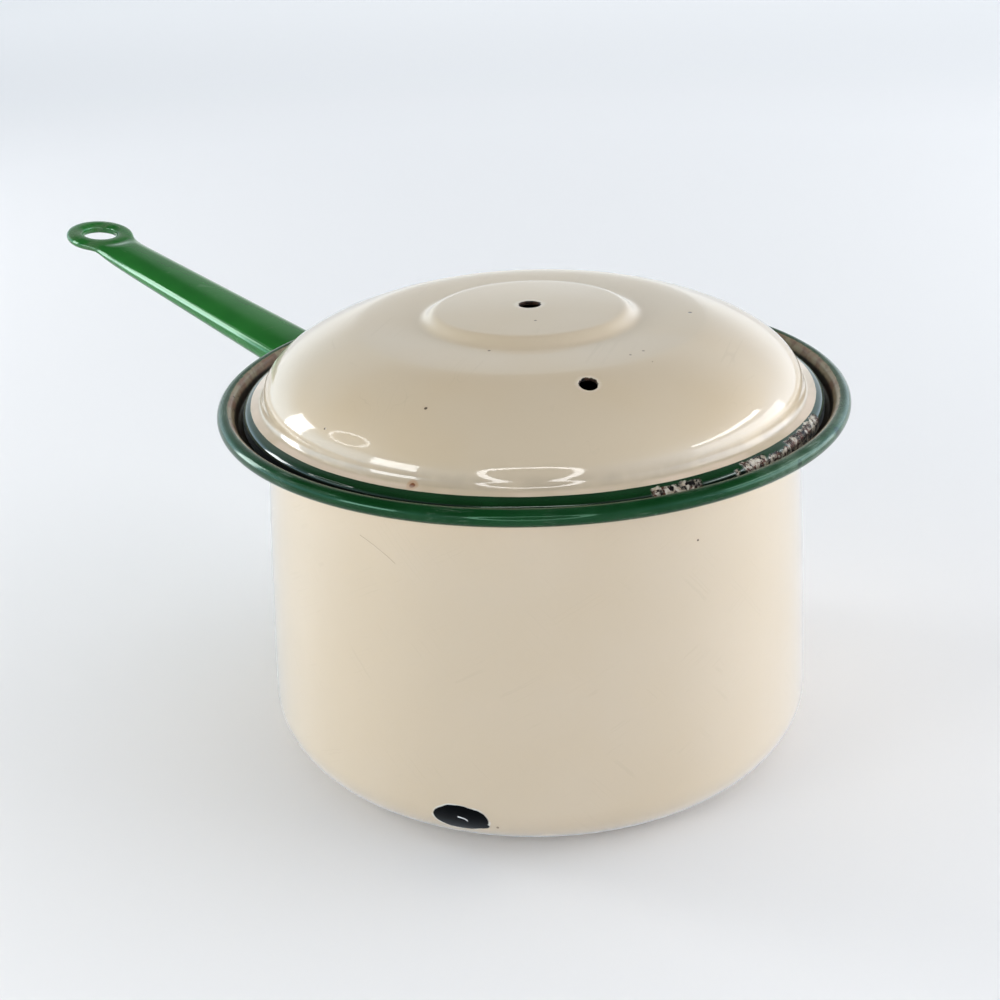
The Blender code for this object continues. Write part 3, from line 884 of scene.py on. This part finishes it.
# Handle. One folded steel pressing, welded to the wall under the seat: a flat tube with its seam
# below, pressed together at its end and pierced for hanging. Enamelled dark green all over.
HANDLE_RISE = math.radians(11.4)
HANDLE_FOOT = 0.08449
EYE = 0.23963
HANDLE_TOP = 0.0021
EYE_STEPS = 16
WELD_DEPTH = 0.0004
CROWN = 0.0006
NECK_CURVE = 0.0035
SEAM_END = 0.2195
SEAM_WIDTH = 0.0020
SEAM_DEPTH = 0.0035

# Stations along the handle, from the wall to the eye: how far out, the width, and the height.
STATIONS = ((0.08661, 0.0314, 0.0132), (0.0890, 0.0292, 0.0118), (0.0925, 0.0266, 0.0107),
            (0.0980, 0.0253, 0.0103), (0.1300, 0.0238, 0.0095), (0.1650, 0.0223, 0.0086),
            (0.1950, 0.0210, 0.0079), (0.2120, 0.0202, 0.0074), (0.2190, 0.0198, 0.0071),
            (0.2225, 0.0197, 0.0064))
HANDLE_FROM = STATIONS[0][0]
NECK_FROM = STATIONS[-1][0]

# The eye's section, from its bore outwards and back.
EYE_RING = ((-0.00680, 0.0), (-0.0070, 0.0014), (-0.0086, 0.00202), (-0.0113, 0.00203),
            (-0.01340, 0.0014), (-0.01385, 0.0), (-0.01340, -0.0014), (-0.0113, -0.00203),
            (-0.0086, -0.00202), (-0.0070, -0.0014))


def into_wall(vert):
    """Moves a point of the root along the handle to just under the wall's outer face."""
    up = vert.co.z * math.cos(HANDLE_RISE) + vert.co.x * math.sin(HANDLE_RISE) + HANDLE_FOOT
    reach = math.sqrt((wall_radius(up) - WELD_DEPTH) ** 2 - vert.co.y ** 2)
    vert.co.x = (reach + vert.co.z * math.sin(HANDLE_RISE)) / math.cos(HANDLE_RISE)


# The eye is a turned ring, left open on the side where the tube runs into it.
bm = bmesh.new()
verts = [bm.verts.new((x, 0.0, z)) for x, z in EYE_RING]
edges = [bm.edges.new(pair) for pair in zip(verts, verts[1:] + verts[:1])]
bmesh.ops.spin(bm, geom=verts + edges, cent=(0, 0, 0), axis=(0, 0, 1), angle=math.tau,
               steps=EYE_STEPS, use_merge=True, use_duplicate=False)
bmesh.ops.remove_doubles(bm, verts=bm.verts, dist=0.00001)
tube_side = [f for f in bm.faces if f.calc_center_median().xy.length > 0.0128
             and f.calc_center_median().x < -0.010]
bmesh.ops.delete(bm, geom=tube_side, context="FACES")
mouth = [e for e in bm.edges if e.is_boundary]
bmesh.ops.translate(bm, verts=bm.verts, vec=(EYE, 0, 0))

# The tube, from the eye back to the wall. Its top is slightly crowned, its end curves round the eye,
# and its root follows the pan's wall.
for place, width, height in reversed(STATIONS):
    side = width / 2
    low = HANDLE_TOP - height
    corners = [(0.0, HANDLE_TOP + CROWN), (side - 0.0056, HANDLE_TOP + 0.0004),
               (side - 0.0013, HANDLE_TOP - 0.0011), (side, HANDLE_TOP - height / 2),
               (side - 0.0012, low + 0.0013), (side - 0.0046, low), (0.0, low)]
    corners += [(-y, z) for y, z in corners[-2:0:-1]]
    verts = [bm.verts.new((place, y, z)) for y, z in corners]
    if place == NECK_FROM:
        for vert in verts:
            vert.co.x += NECK_CURVE * (vert.co.y / side) ** 2
    if place == HANDLE_FROM:
        for vert in verts:
            into_wall(vert)
    loop = [bm.edges.new(pair) for pair in zip(verts, verts[1:] + verts[:1])]
    bmesh.ops.bridge_loops(bm, edges=mouth + loop)
    mouth = loop
crease = bm.edges.layers.float.new("crease_edge")
root = bm.faces.new(verts)
for edge in root.edges:
    edge[crease] = 1.0
for vert in bmesh.ops.poke(bm, faces=[root])["verts"]:
    into_wall(vert)

# The seam: the middle edge below is opened to a strip, and the strip is sunk into the tube.
below = [e for e in bm.edges if all(abs(v.co.y) < 0.0001 and v.co.z < -0.003 for v in e.verts)]
seam = [e for e in below if HANDLE_FROM + 0.001 < min(v.co.x for v in e.verts)
        and max(v.co.x for v in e.verts) < SEAM_END]
slit = bmesh.ops.bevel(bm, geom=seam, offset=SEAM_WIDTH / 2, offset_type="OFFSET", segments=1,
                       affect="EDGES", profile=0.5, material=-1)["faces"]
bmesh.ops.inset_region(bm, faces=slit, thickness=0.0003, depth=0.0002, use_even_offset=True)
deeper = bmesh.ops.extrude_face_region(bm, geom=slit)["geom"]
bmesh.ops.delete(bm, geom=slit, context="FACES")
sunk = [g for g in deeper if isinstance(g, bmesh.types.BMVert)]
bmesh.ops.translate(bm, verts=sunk, vec=(0, 0, SEAM_DEPTH))
bmesh.ops.recalc_face_normals(bm, faces=bm.faces)
risen = Matrix.Translation((0, 0, HANDLE_FOOT)) @ Matrix.Rotation(-HANDLE_RISE, 4, "Y")
bmesh.ops.transform(bm, verts=bm.verts, matrix=risen)
handle = placed("handle_grip", bm, "pan")
rounding = handle.modifiers.new("Rounding", "SUBSURF")
rounding.levels = 3
rounding.render_levels = 3
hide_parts("handle")

# Colours of the handle: its green, thin where the eye was pressed, and its wear and dirt.
HANDLE_GREEN = (0.014, 0.110, 0.018)
HANDLE_GREEN_PALER = (0.020, 0.140, 0.023)
THIN_GREEN = (0.14, 0.17, 0.11)
EYE_BROWN = (0.10, 0.085, 0.05)
HANDLE_PIT = (0.02, 0.03, 0.01)
HANDLE_DUST = (0.30, 0.40, 0.28)
HANDLE_SCRATCH = (0.20, 0.30, 0.19)
ROOT_GRIME = (0.020, 0.030, 0.012)

grip, shader, place = enamel("green_handle", tint=(0.66, 1.0, 0.78))
rough = shaken(place, 0.0010, 0.004)
x, y, z = split(rough)
green = place.noise(0.030, 3.0).step(0.35, 0.70).over(HANDLE_GREEN, HANDLE_GREEN_PALER)
thin = x.near(0.2340, 0.016, 0.004) * place.noise(0.006, 4.0).step(0.42, 0.62)
green = (thin * 0.35).over(green, THIN_GREEN)
eye_wear = x.step(0.2230, 0.2330) * place.noise(0.0022, 4.0).step(0.62, 0.74)
green = (eye_wear * 0.7).over(green, EYE_BROWN)
pits = specks(place, 0.0090, 0.00032, 0.35)
green = (pits * 0.8).over(green, HANDLE_PIT)
dust = specks(place, 0.0030, 0.00020, 0.30) * place.noise(0.020).step(0.48, 0.64)
green = (dust * 0.5).over(green, HANDLE_DUST)
hairs = scratches(place, (0.2, 0.1, 0.3)).or_(scratches(place, (0.5, 0.2, 1.4)))
green = (hairs * 0.12).over(green, HANDLE_SCRATCH)
root_grime = place.noise(0.004, 4.0).step(0.35, 0.60) * (x * x + y * y).step(0.0894 ** 2, 0.0862 ** 2)
green = (root_grime * 0.6).over(green, ROOT_GRIME)
green.feeds(shader, "Base Color")
(0.10 + thin * 0.18 + eye_wear * 0.2 + hairs * 0.04 + root_grime * 0.2).feeds(shader, "Roughness")
uneven(place, shader, (pits + eye_wear + dust * 0.5) * 0.00003, peel=0.000014)
handle.data.materials.append(grip)
